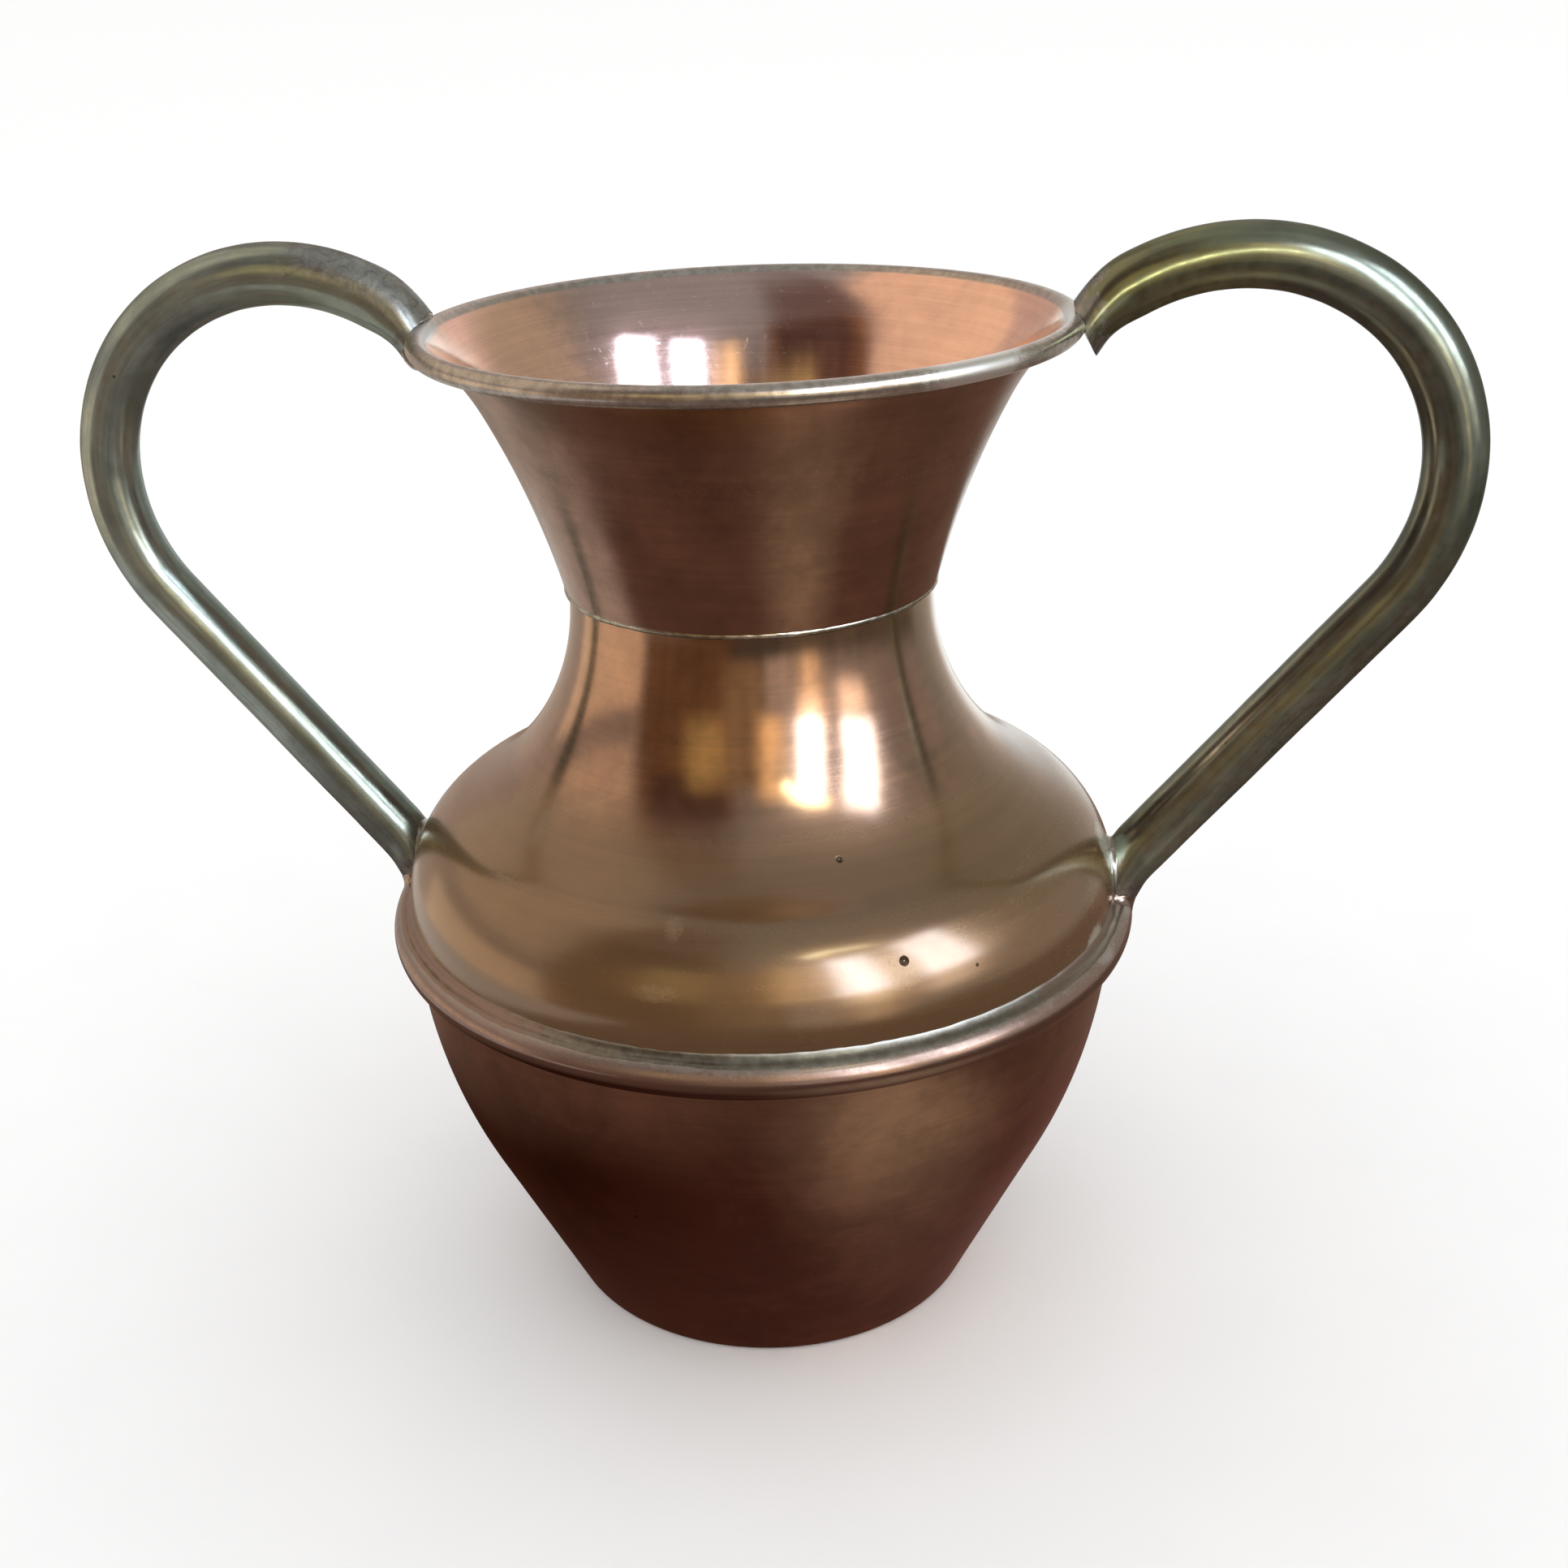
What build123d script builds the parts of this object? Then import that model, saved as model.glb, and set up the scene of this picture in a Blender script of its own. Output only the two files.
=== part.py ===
from build123d import *
import os
from math import cos, radians, sin

# Two-handled copper vase with brass tube handles, in millimetres.
# Three spun copper sheets (bowl, shoulder, neck funnel) are stacked on the Z axis and soft-soldered.
# Two hollow brass tubes are bent into handles in the XZ plane and soldered on at both ends.
# The origin is the centre of the base, on the surface that the vase stands on.

# ---------------------------------------------------------------- driving dimensions

body_sheet = 0.8  # thickness of the bowl and shoulder sheet
funnel_sheet = 0.7  # thickness of the neck funnel sheet

# Bowl: recessed base, conical wall, long curve to vertical, hollow swaged bead at its mouth.
base_recess_radius = 36.0
base_step_bend = 3.0
base_step_turn = 40.0
base_edge_bend = 1.7
wall_lean = 24.6  # the cone's lean from vertical, in degrees
wall_curve_bend = 117.5
wall_top_lean = 2.1  # lean left where the wall meets the bead
bead_radius = 4.0
bead_centre_radius = 76.0
bead_centre_height = 88.75
bead_crease_bend = 0.3

# Shoulder: skirt that stands in the bead, convex dome, concave sweep up to the neck collar.
skirt_radius = 75.76
skirt_foot_height = 85.6
skirt_top_height = 94.8
dome_bend = 23.7
dome_turn = 62.0
neck_radius = 37.0
collar_top_height = 165.0

# Neck funnel: trumpet of two arcs, with its edge rolled over a wire.
funnel_foot_radius = 37.8
funnel_foot_height = 161.0
funnel_lean = 13.6  # lean from vertical at the foot, in degrees
funnel_lower_bend = 165.7
funnel_lower_turn = 13.5
funnel_upper_bend = 46.6
funnel_upper_turn = 20.75
wire_radius = 1.25
roll_turn = 300.0

# Handle: round brass tube with one straight leg, two bends and a nip at each end.
tube_radius = 6.0
tube_wall = 1.0
leg_foot = (81.35, 103.0)  # distance from the Z axis, height
leg_heading = 51.0  # degrees above the horizontal
leg_length = 68.4
outer_bend = 39.6
outer_turn = 89.3
crown_bend = 41.8
crown_turn = 67.7
rim_nip_bend = 23.0
rim_nip_turn = 29.0
rim_nip_run = 4.5
rim_nip_half_width = 7.1  # across the plane of the handle
rim_nip_half_height = 4.7  # in the plane of the handle
foot_nip_bend = 30.0
foot_nip_turn = 15.0
foot_nip_run = 7.0
foot_nip_half_width = 6.5
foot_nip_half_height = 5.4
mouth_cut_top = (62.0, 212.7)  # the slanted cut across the tube's end at the rim
mouth_cut_tip = (66.2, 204.2)

# Solder
neck_fillet_drop = 0.9
wicked_height = 3.0
belly_fillet_rise = 1.5
belly_fillet_angle = 60.0  # where the fillet ends on the bead, in degrees above its centre
joint_fillet = 1.2
plug_depth = 3.2
rim_run_radius = 1.15
rim_run_angle = -50.0
rim_run_arc = 22.0

# ---------------------------------------------------------------- derived dimensions

bead_centre = Vector(bead_centre_radius, bead_centre_height)
bead_top_height = bead_centre_height + bead_radius
bead_lip = bead_centre_radius - skirt_radius
wall_top_radius = bead_centre_radius - bead_crease_bend * cos(radians(wall_top_lean))
wall_top_height = (
    bead_centre_height - bead_radius - bead_crease_bend * (1 - sin(radians(wall_top_lean)))
)
cone_top_radius = wall_top_radius - wall_curve_bend * (
    cos(radians(wall_top_lean)) - cos(radians(wall_lean))
)
cone_top_height = wall_top_height - wall_curve_bend * (
    sin(radians(wall_lean)) - sin(radians(wall_top_lean))
)
cone_foot_height = base_edge_bend * (1 - sin(radians(wall_lean)))
cone_length = (cone_top_height - cone_foot_height) / cos(radians(wall_lean))
base_ring_radius = (
    cone_top_radius - cone_length * sin(radians(wall_lean)) - base_edge_bend * cos(radians(wall_lean))
)
base_recess_height = 2 * base_step_bend * (1 - cos(radians(base_step_turn)))
base_step_reach = 2 * base_step_bend * sin(radians(base_step_turn))

dome_end_radius = skirt_radius - dome_bend * (1 - cos(radians(dome_turn)))
sweep_bend = (dome_end_radius - neck_radius) / (1 - cos(radians(dome_turn)))
collar_foot_height = skirt_top_height + (dome_bend + sweep_bend) * sin(radians(dome_turn))


def straight(length):
    """A straight run of a chain."""
    return (0.0, length)


def bend(radius, turn):
    """A tangent arc of a chain, turning left for a positive angle in degrees."""
    return (radius, turn)


# Each chain starts at a point and a heading, and its first or outer face lies on its right.
bowl_chain = [
    straight(base_recess_radius),
    bend(base_step_bend, -base_step_turn),
    bend(base_step_bend, base_step_turn),
    straight(base_ring_radius - base_recess_radius - base_step_reach),
    bend(base_edge_bend, 90 - wall_lean),
    straight(cone_length),
    bend(wall_curve_bend, wall_lean - wall_top_lean),
    bend(bead_crease_bend, wall_top_lean - 90),
    bend(bead_radius, 180),
    straight(bead_lip),
]
shoulder_chain = [
    straight(skirt_top_height - skirt_foot_height),
    bend(dome_bend, dome_turn),
    bend(sweep_bend, -dome_turn),
    straight(collar_top_height - collar_foot_height),
]
funnel_chain = [
    bend(funnel_lower_bend, -funnel_lower_turn),
    bend(funnel_upper_bend, -funnel_upper_turn),
]
skirt_foot = (skirt_radius, skirt_foot_height)
funnel_foot = (funnel_foot_radius, funnel_foot_height)
funnel_heading = 90 - funnel_lean


def direction(heading):
    """The unit vector at an angle, in degrees above the horizontal, in a section's plane."""
    return Vector(cos(radians(heading)), sin(radians(heading)))


def draw_chain(start, heading, chain, offset=0.0):
    """Draw a chain, moved to its left by an offset, and return its first and last points."""
    first = Vector(*start) + direction(heading + 90) * offset
    last = first
    for radius, amount in chain:
        if radius == 0:
            run = Line(last, last + direction(heading) * amount)
        else:
            shifted = radius - offset if amount > 0 else radius + offset
            run = JernArc(last, direction(heading), shifted, amount)
            heading += amount
        last = run @ 1
    return first, last


def draw_sheet(start, heading, chain, thickness):
    """Close the section of a sheet whose outer face is the chain."""
    outer_first, outer_last = draw_chain(start, heading, chain)
    inner_first, inner_last = draw_chain(start, heading, chain, thickness)
    Line(outer_first, inner_first)
    Line(outer_last, inner_last)


def draw_shoulder_core(offset):
    """Close the section of the solid that the shoulder's outer face encloses, grown by an offset."""
    first, last = draw_chain(skirt_foot, 90, shoulder_chain, -offset)
    Polyline(last, (0, last.Y), (0, first.Y), first)


with BuildLine():
    funnel_foot_point, roll_start = draw_chain(funnel_foot, funnel_heading, funnel_chain)
roll_heading = funnel_heading - funnel_lower_turn - funnel_upper_turn
roll_centre = roll_start + direction(roll_heading - 90) * wire_radius
roll_radius = wire_radius + funnel_sheet

# ---------------------------------------------------------------- spun copper sheets

with BuildPart() as bowl:
    with BuildSketch(Plane.XZ):
        with BuildLine():
            draw_sheet((0, base_recess_height), 0, bowl_chain, body_sheet)
        make_face()
    revolve(axis=Axis.Z)

with BuildPart() as shoulder:
    with BuildSketch(Plane.XZ):
        with BuildLine():
            draw_sheet(skirt_foot, 90, shoulder_chain, body_sheet)
        make_face()
    revolve(axis=Axis.Z)

with BuildPart() as neck_funnel:
    with BuildSketch(Plane.XZ):
        with BuildLine():
            rolled_chain = funnel_chain + [bend(wire_radius, -roll_turn)]
            draw_sheet(funnel_foot, funnel_heading, rolled_chain, funnel_sheet)
        make_face()
    revolve(axis=Axis.Z)

with BuildPart() as rim_wire:
    with BuildSketch(Plane.XZ):
        with Locations((roll_centre.X, roll_centre.Y)):
            Circle(wire_radius)
    revolve(axis=Axis.Z)

# ---------------------------------------------------------------- solder seams round the body

with BuildPart() as neck_solder:
    with BuildSketch(Plane.XZ):
        with BuildLine():
            Polyline(
                (neck_radius - body_sheet / 2, funnel_foot_height - neck_fillet_drop),
                (neck_radius, funnel_foot_height - neck_fillet_drop),
                (funnel_foot_radius, funnel_foot_height),
                (funnel_foot_radius, funnel_foot_height + wicked_height),
                (neck_radius - body_sheet / 2, funnel_foot_height + wicked_height),
                close=True,
            )
        make_face()
    revolve(axis=Axis.Z)
    add(shoulder.part, mode=Mode.SUBTRACT)
    add(neck_funnel.part, mode=Mode.SUBTRACT)

with BuildPart() as belly_solder:
    with BuildSketch(Plane.XZ):
        with BuildLine():
            bead_end = bead_centre + direction(belly_fillet_angle) * bead_radius
            bead_middle = bead_centre + direction((90 + belly_fillet_angle) / 2) * bead_radius
            bead_top = bead_centre + Vector(0, bead_radius)
            ThreePointArc(bead_end, bead_middle, bead_top)
            Polyline(
                bead_top,
                (skirt_radius, bead_top_height),
                (skirt_radius, bead_top_height + belly_fillet_rise),
                bead_end,
            )
        make_face()
    revolve(axis=Axis.Z)

# ---------------------------------------------------------------- brass tube handles

with BuildLine(Plane.XZ) as spine:
    leg_top = Vector(*leg_foot) + direction(leg_heading) * leg_length
    leg = Line(leg_foot, (leg_top.X, leg_top.Y))
    outer_arc = JernArc(leg @ 1, leg % 1, outer_bend, outer_turn)
    crown_arc = JernArc(outer_arc @ 1, outer_arc % 1, crown_bend, crown_turn)

with BuildLine(Plane.XZ) as rim_nip:
    rim_arc = JernArc(crown_arc @ 1, crown_arc % 1, rim_nip_bend, rim_nip_turn)
    Line(rim_arc @ 1, rim_arc @ 1 + (rim_arc % 1) * rim_nip_run)

with BuildLine(Plane.XZ) as foot_nip:
    foot_arc = JernArc(leg @ 0, (leg % 0) * -1, foot_nip_bend, foot_nip_turn)
    Line(foot_arc @ 1, foot_arc @ 1 + (foot_arc % 1) * foot_nip_run)


def nipped_end(arc, run, half_width, half_height, grow=0.0):
    """Loft the tube's end from round to nipped along its last arc, with its radii grown by an amount."""
    with BuildPart() as end:
        for share in (0.0, 0.5, 1.0):
            with BuildSketch(Plane(arc @ share, x_dir=(0, 1, 0), z_dir=arc % share)):
                Ellipse(
                    tube_radius + (half_width - tube_radius) * share + grow,
                    tube_radius + (half_height - tube_radius) * share + grow,
                )
        tip = arc @ 1 + (arc % 1) * run
        with BuildSketch(Plane(tip, x_dir=(0, 1, 0), z_dir=arc % 1)):
            Ellipse(half_width + grow, half_height + grow)
        loft()
    return end.part


def rim_end(grow):
    return nipped_end(rim_arc, rim_nip_run, rim_nip_half_width, rim_nip_half_height, grow)


def foot_end(grow):
    return nipped_end(foot_arc, foot_nip_run, foot_nip_half_width, foot_nip_half_height, grow)


cut_along = Vector(*mouth_cut_tip) - Vector(*mouth_cut_top)
cut_middle = (Vector(*mouth_cut_tip) + Vector(*mouth_cut_top)) / 2
mouth_plane = Plane(
    (cut_middle.X, 0, cut_middle.Y), x_dir=(0, 1, 0), z_dir=(cut_along.Y, 0, -cut_along.X)
)

with BuildPart() as body_core:
    with BuildSketch(Plane.XZ):
        with BuildLine():
            draw_shoulder_core(0)
        make_face()
        with Locations(bead_centre):
            Circle(bead_radius)
        with Locations((skirt_radius, bead_centre_height + bead_radius / 2)):
            Rectangle(2 * bead_lip, bead_radius)
        with Locations((roll_centre.X, roll_centre.Y)):
            Circle(roll_radius)
    revolve(axis=Axis.Z)
    add(belly_solder.part)

with BuildPart() as right_handle:
    with BuildSketch(Plane(leg @ 0, x_dir=(0, 1, 0), z_dir=leg % 0)):
        Circle(tube_radius)
    sweep(path=spine.line)
    add(rim_end(0))
    add(foot_end(0))
    with BuildSketch(Plane(leg @ 0, x_dir=(0, 1, 0), z_dir=leg % 0)):
        Circle(tube_radius - tube_wall)
    sweep(path=spine.line, mode=Mode.SUBTRACT)
    add(rim_end(-tube_wall), mode=Mode.SUBTRACT)
    add(foot_end(-tube_wall), mode=Mode.SUBTRACT)
    with BuildSketch(mouth_plane):
        Rectangle(4 * tube_radius, 4 * tube_radius)
    extrude(amount=2 * tube_radius, mode=Mode.SUBTRACT)
    add(body_core.part, mode=Mode.SUBTRACT)


# ---------------------------------------------------------------- solder at the handles' ends

with BuildPart() as right_foot_solder:
    add(foot_end(joint_fillet))
    with BuildSketch(Plane.XZ):
        with BuildLine():
            draw_shoulder_core(joint_fillet)
        make_face()
        with Locations(bead_centre):
            Circle(bead_radius + joint_fillet)
    revolve(axis=Axis.Z, mode=Mode.INTERSECT)
    add(foot_end(0), mode=Mode.SUBTRACT)
    add(body_core.part, mode=Mode.SUBTRACT)

with BuildPart() as right_rim_solder:
    add(rim_end(-tube_wall))
    with BuildSketch(mouth_plane):
        Rectangle(4 * tube_radius, 4 * tube_radius)
    extrude(amount=-plug_depth, mode=Mode.INTERSECT)
    run_centre = roll_centre + direction(rim_run_angle) * (roll_radius + rim_run_radius / 3)
    with BuildSketch(Plane.XZ.rotated((0, 0, -rim_run_arc / 2))):
        with Locations((run_centre.X, run_centre.Y)):
            Circle(rim_run_radius)
    revolve(axis=Axis.Z, revolution_arc=rim_run_arc)
    add(body_core.part, mode=Mode.SUBTRACT)
    add(right_handle.part, mode=Mode.SUBTRACT)

# ---------------------------------------------------------------- the left side mirrors the right

with BuildPart() as left_handle:
    mirror(right_handle.part, about=Plane.YZ)

with BuildPart() as left_foot_solder:
    mirror(right_foot_solder.part, about=Plane.YZ)

with BuildPart() as left_rim_solder:
    mirror(right_rim_solder.part, about=Plane.YZ)

# ---------------------------------------------------------------- one STEP file for each piece

pieces = {
    "bowl": bowl,
    "shoulder": shoulder,
    "neck_funnel": neck_funnel,
    "rim_wire": rim_wire,
    "neck_solder": neck_solder,
    "belly_solder": belly_solder,
    "left_handle": left_handle,
    "right_handle": right_handle,
    "left_rim_solder": left_rim_solder,
    "right_rim_solder": right_rim_solder,
    "left_foot_solder": left_foot_solder,
    "right_foot_solder": right_foot_solder,
}

os.makedirs("parts", exist_ok=True)
for name, piece in pieces.items():
    piece.part.label = name
    export_step(piece.part, f"parts/{name}.step")
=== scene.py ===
"""A two-handled copper vase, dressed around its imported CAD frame.

Three spun copper sheets make the body, two bent brass tubes make the handles, and soft solder joins them.
Shapes are drawn in millimetres, with the CAD's driving dimensions, and become metres when a mesh is made.
"""

import math

import bmesh
import bpy
from mathutils import Matrix, Vector, noise


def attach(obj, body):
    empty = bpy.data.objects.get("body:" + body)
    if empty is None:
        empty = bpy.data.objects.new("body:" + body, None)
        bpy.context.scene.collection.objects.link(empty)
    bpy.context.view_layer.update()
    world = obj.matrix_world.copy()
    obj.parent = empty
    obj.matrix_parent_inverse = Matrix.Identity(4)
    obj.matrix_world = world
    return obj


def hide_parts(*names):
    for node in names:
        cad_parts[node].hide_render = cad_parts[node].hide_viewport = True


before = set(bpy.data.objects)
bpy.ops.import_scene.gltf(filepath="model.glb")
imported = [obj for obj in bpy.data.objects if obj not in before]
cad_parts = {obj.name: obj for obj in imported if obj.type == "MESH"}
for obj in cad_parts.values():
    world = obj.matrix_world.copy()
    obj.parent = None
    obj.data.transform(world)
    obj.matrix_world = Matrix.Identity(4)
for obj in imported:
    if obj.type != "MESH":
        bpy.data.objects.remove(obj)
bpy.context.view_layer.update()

MM = 0.001

# ---- driving dimensions: mm and degrees

body_sheet = 0.8
funnel_sheet = 0.7

base_recess_radius = 36.0
base_step_bend = 3.0
base_step_turn = 40.0
base_edge_bend = 1.7
wall_lean = 24.6
wall_curve_bend = 117.5
wall_top_lean = 2.1
bead_radius = 4.0
bead_centre = Vector((76.0, 88.75))
bead_crease_bend = 0.3

skirt_radius = 75.76
skirt_foot_height = 85.6
skirt_top_height = 94.8
dome_bend = 23.7
dome_turn = 62.0
neck_radius = 37.0
collar_top_height = 165.0

funnel_foot = Vector((37.8, 161.0))
funnel_lean = 13.6
funnel_lower_bend = 165.7
funnel_lower_turn = 13.5
funnel_upper_bend = 46.6
funnel_upper_turn = 20.75
wire_radius = 1.25
roll_turn = 300.0

tube_radius = 6.0
tube_wall = 1.0
leg_foot = Vector((81.35, 103.0))
leg_heading = 51.0
leg_length = 68.4
outer_bend = 39.6
outer_turn = 89.3
crown_bend = 41.8
crown_turn = 67.7
rim_nip_bend = 23.0
rim_nip_turn = 29.0
rim_nip_run = 4.5
rim_nip_size = (7.1, 4.7)  # half width across the handle's plane, half height in it
foot_nip_bend = 30.0
foot_nip_turn = 15.0
foot_nip_run = 7.0
foot_nip_size = (6.5, 5.4)
mouth_cut_top = Vector((62.0, 212.7))
mouth_cut_tip = Vector((66.2, 204.2))

# Mesh fineness
body_segments = 288
long_step = 1.2  # the longest step along a section, in millimetres
turn_step = 9.0  # the largest turn between two points of an arc
tube_lines = 72

# ---- sections


def sine(angle):
    return math.sin(math.radians(angle))


def cosine(angle):
    return math.cos(math.radians(angle))


def straight(length):
    """A straight run of a chain."""
    return (0.0, length)


def bend(radius, turn):
    """A tangent arc of a chain, turning left for a positive angle."""
    return (radius, turn)


def direction(heading):
    """The unit vector at an angle above the horizontal, in a section's plane of radius and height."""
    return Vector((cosine(heading), sine(heading)))


def stations(start, heading, chain):
    """(point, heading) pairs along a chain, close enough together for a smooth mesh."""
    place = Vector(start)
    found = [(place.copy(), heading)]
    for radius, amount in chain:
        if radius == 0:
            steps = max(1, math.ceil(amount / long_step))
            found += [(place + direction(heading) * amount * i / steps, heading) for i in range(1, steps + 1)]
        else:
            side = math.copysign(1, amount)
            centre = place + direction(heading + 90) * radius * side
            arc_length = math.radians(abs(amount)) * radius
            steps = max(1, math.ceil(arc_length / long_step), math.ceil(abs(amount) / turn_step))
            for i in range(1, steps + 1):
                here = heading + amount * i / steps
                found.append((centre - direction(here + 90) * radius * side, here))
            heading += amount
        place = found[-1][0]
    return found


def moved_left(path, offset):
    """The points of a path of stations, moved to its left."""
    return [point + direction(heading + 90) * offset for point, heading in path]


bead_lip = bead_centre.x - skirt_radius
wall_top = Vector((
    bead_centre.x - bead_crease_bend * cosine(wall_top_lean),
    bead_centre.y - bead_radius - bead_crease_bend * (1 - sine(wall_top_lean)),
))
cone_top = wall_top - wall_curve_bend * Vector((
    cosine(wall_top_lean) - cosine(wall_lean),
    sine(wall_lean) - sine(wall_top_lean),
))
cone_foot_height = base_edge_bend * (1 - sine(wall_lean))
cone_length = (cone_top.y - cone_foot_height) / cosine(wall_lean)
base_ring_radius = cone_top.x - cone_length * sine(wall_lean) - base_edge_bend * cosine(wall_lean)
base_recess_height = 2 * base_step_bend * (1 - cosine(base_step_turn))
base_step_reach = 2 * base_step_bend * sine(base_step_turn)
dome_end_radius = skirt_radius - dome_bend * (1 - cosine(dome_turn))
sweep_bend = (dome_end_radius - neck_radius) / (1 - cosine(dome_turn))
collar_foot_height = skirt_top_height + (dome_bend + sweep_bend) * sine(dome_turn)

# Each sheet's outer or lower face lies on its chain's right, and the sheet's thickness on the left.
bowl_path = stations((0, base_recess_height), 0, [
    straight(base_recess_radius),
    bend(base_step_bend, -base_step_turn),
    bend(base_step_bend, base_step_turn),
    straight(base_ring_radius - base_recess_radius - base_step_reach),
    bend(base_edge_bend, 90 - wall_lean),
    straight(cone_length),
    bend(wall_curve_bend, wall_lean - wall_top_lean),
    bend(bead_crease_bend, wall_top_lean - 90),
    bend(bead_radius, 180),
    straight(bead_lip),
])
shoulder_path = stations((skirt_radius, skirt_foot_height), 90, [
    straight(skirt_top_height - skirt_foot_height),
    bend(dome_bend, dome_turn),
    bend(sweep_bend, -dome_turn),
    straight(collar_top_height - collar_foot_height),
])
trumpet_path = stations(funnel_foot, 90 - funnel_lean, [
    bend(funnel_lower_bend, -funnel_lower_turn),
    bend(funnel_upper_bend, -funnel_upper_turn),
])
roll_start, roll_heading = trumpet_path[-1]
roll_path = stations(roll_start, roll_heading, [bend(wire_radius, -roll_turn)])
roll_centre = roll_start + direction(roll_heading - 90) * wire_radius
roll_radius = wire_radius + funnel_sheet

# ---- meshes


def smooth_noise(point, size, seed):
    """Noise from -1 to 1 at a point in millimetres, with features of about that size."""
    return noise.noise(Vector(point) / size + Vector((seed, seed, seed)))


def new_object(name, data):
    """A mesh or camera as an object in the scene."""
    thing = bpy.data.objects.new(name, data)
    bpy.context.scene.collection.objects.link(thing)
    return thing


def make_object(name, vertices, faces, materials, sharp=35.0, indices=None):
    """A smooth mesh object from points in millimetres, with its doubled points merged."""
    mesh = bpy.data.meshes.new(name)
    mesh.from_pydata([Vector(v) * MM for v in vertices], [], faces)
    if indices:
        mesh.polygons.foreach_set("material_index", indices)
    work = bmesh.new()
    work.from_mesh(mesh)
    bmesh.ops.remove_doubles(work, verts=work.verts, dist=0.002 * MM)
    bmesh.ops.recalc_face_normals(work, faces=work.faces)
    work.to_mesh(mesh)
    work.free()
    mesh.shade_smooth()
    mesh.set_sharp_from_angle(angle=math.radians(sharp))
    for material in materials:
        mesh.materials.append(material)
    return new_object(name, mesh)


def bridge(here, there, size):
    """The quads between two rings of points, given the first point of each."""
    return [(here + k, there + k, there + (k + 1) % size, here + (k + 1) % size) for k in range(size)]


def ring_faces(rings, size, first=0, closed=False):
    """The quads between neighbouring rings of points, and from the last ring to the first if closed."""
    faces = []
    for i in range(rings if closed else rings - 1):
        faces += bridge(first + i * size, first + (i + 1) % rings * size, size)
    return faces


def round_axis(radius, angle, height=0):
    """The point at a radius and height, turned round Z by an angle."""
    return (radius * math.cos(angle), radius * math.sin(angle), height)


def turned(section_at, segments):
    """The points and faces of a closed section carried once round Z."""
    vertices = []
    for i in range(segments):
        angle = math.radians(360.0 * i / segments)
        section = section_at(angle)
        vertices += [round_axis(r, angle, z) for r, z in section]
    return vertices, ring_faces(segments, len(section), closed=True)


def hand_wave(radius, angle, height):
    """How far a hand-finished sheet lies inside its true circle: never outside it."""
    place = round_axis(radius, angle, height)
    broad = 0.5 + 0.5 * smooth_noise(place, 55.0, 3.1)
    close = 0.5 + 0.5 * smooth_noise(place, 17.0, 8.7)
    return 0.16 * broad + 0.03 * close


def spun_sheet(name, path, thickness, materials):
    """A spun sheet as a closed shell, with the first material outside and the second inside."""
    outer = moved_left(path, 0.0)
    inner = moved_left(path, thickness)
    loop = outer + inner[::-1]

    def section_at(angle):
        rows = []
        for point in loop:
            away = point.x - hand_wave(point.x, angle, point.y) * min(1.0, point.x / neck_radius)
            rows.append((max(away, 0.0), point.y))
        return rows

    vertices, faces = turned(section_at, body_segments)
    size = len(loop)
    sides = [0 if k < len(outer) or k == size - 1 else 1 for k in range(size)]
    # A sheet that starts on the axis has no edge there, so the section's last run makes no faces.
    keep = size - 1 if loop[0].x < 1e-6 else size
    kept = [n for n in range(len(faces)) if n % size < keep]
    indices = [sides[n % size] for n in kept]
    return make_object(name, vertices, [faces[n] for n in kept], materials, indices=indices)


# ---- the handles' line and size

leg_path = stations(leg_foot, leg_heading, [
    straight(leg_length),
    bend(outer_bend, outer_turn),
    bend(crown_bend, crown_turn),
    bend(rim_nip_bend, rim_nip_turn),
    straight(rim_nip_run),
])
foot_path = stations(leg_foot, leg_heading + 180, [
    bend(foot_nip_bend, foot_nip_turn),
    straight(foot_nip_run),
])
foot_nip_length = math.radians(foot_nip_turn) * foot_nip_bend
rim_nip_length = math.radians(rim_nip_turn) * rim_nip_bend
handle_path = [(point, heading - 180) for point, heading in foot_path[:0:-1]] + leg_path
handle_marks = [0.0]
for (before, _), (after, _) in zip(handle_path, handle_path[1:]):
    handle_marks.append(handle_marks[-1] + (after - before).length)
handle_length = handle_marks[-1]


def handle_station(along):
    """The point and heading of the handle's centre line at a distance from its foot."""
    along = min(max(along, 0.0), handle_length)
    k = next(i for i in range(1, len(handle_marks)) if handle_marks[i] >= along - 1e-9)
    share = (along - handle_marks[k - 1]) / (handle_marks[k] - handle_marks[k - 1])
    (a, heading_a), (b, heading_b) = handle_path[k - 1], handle_path[k]
    return a.lerp(b, share), heading_a + (heading_b - heading_a) * share


def ease(share):
    """A smooth step from 0 to 1."""
    share = min(max(share, 0.0), 1.0)
    return share * share * (3 - 2 * share)


def handle_size(along):
    """Half width and half height of the tube, which is round but for the nip at each end."""
    foot = ease(1 - (along - foot_nip_run) / foot_nip_length)
    rim = ease(1 - (handle_length - rim_nip_run - along) / rim_nip_length)
    sizes = zip(foot_nip_size, rim_nip_size)
    return [tube_radius + (f - tube_radius) * foot + (r - tube_radius) * rim for f, r in sizes]


def tube_point(along, around, inset=0.0):
    """A point on the right handle's tube: around is 0 on its left side in the plane, and 90 degrees at +Y."""
    centre, heading = handle_station(along)
    width, height = handle_size(along)
    sideways = direction(heading + 90) * (height - inset) * math.cos(around)
    return Vector((centre.x + sideways.x, (width - inset) * math.sin(around), centre.y + sideways.y))


def shoulder_distance(point):
    """Signed distance from a point to the shoulder's skirt and dome."""
    away = math.hypot(point.x, point.y)
    if point.z < skirt_top_height:
        return away - skirt_radius
    return math.hypot(away - (skirt_radius - dome_bend), point.z - skirt_top_height) - dome_bend


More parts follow.
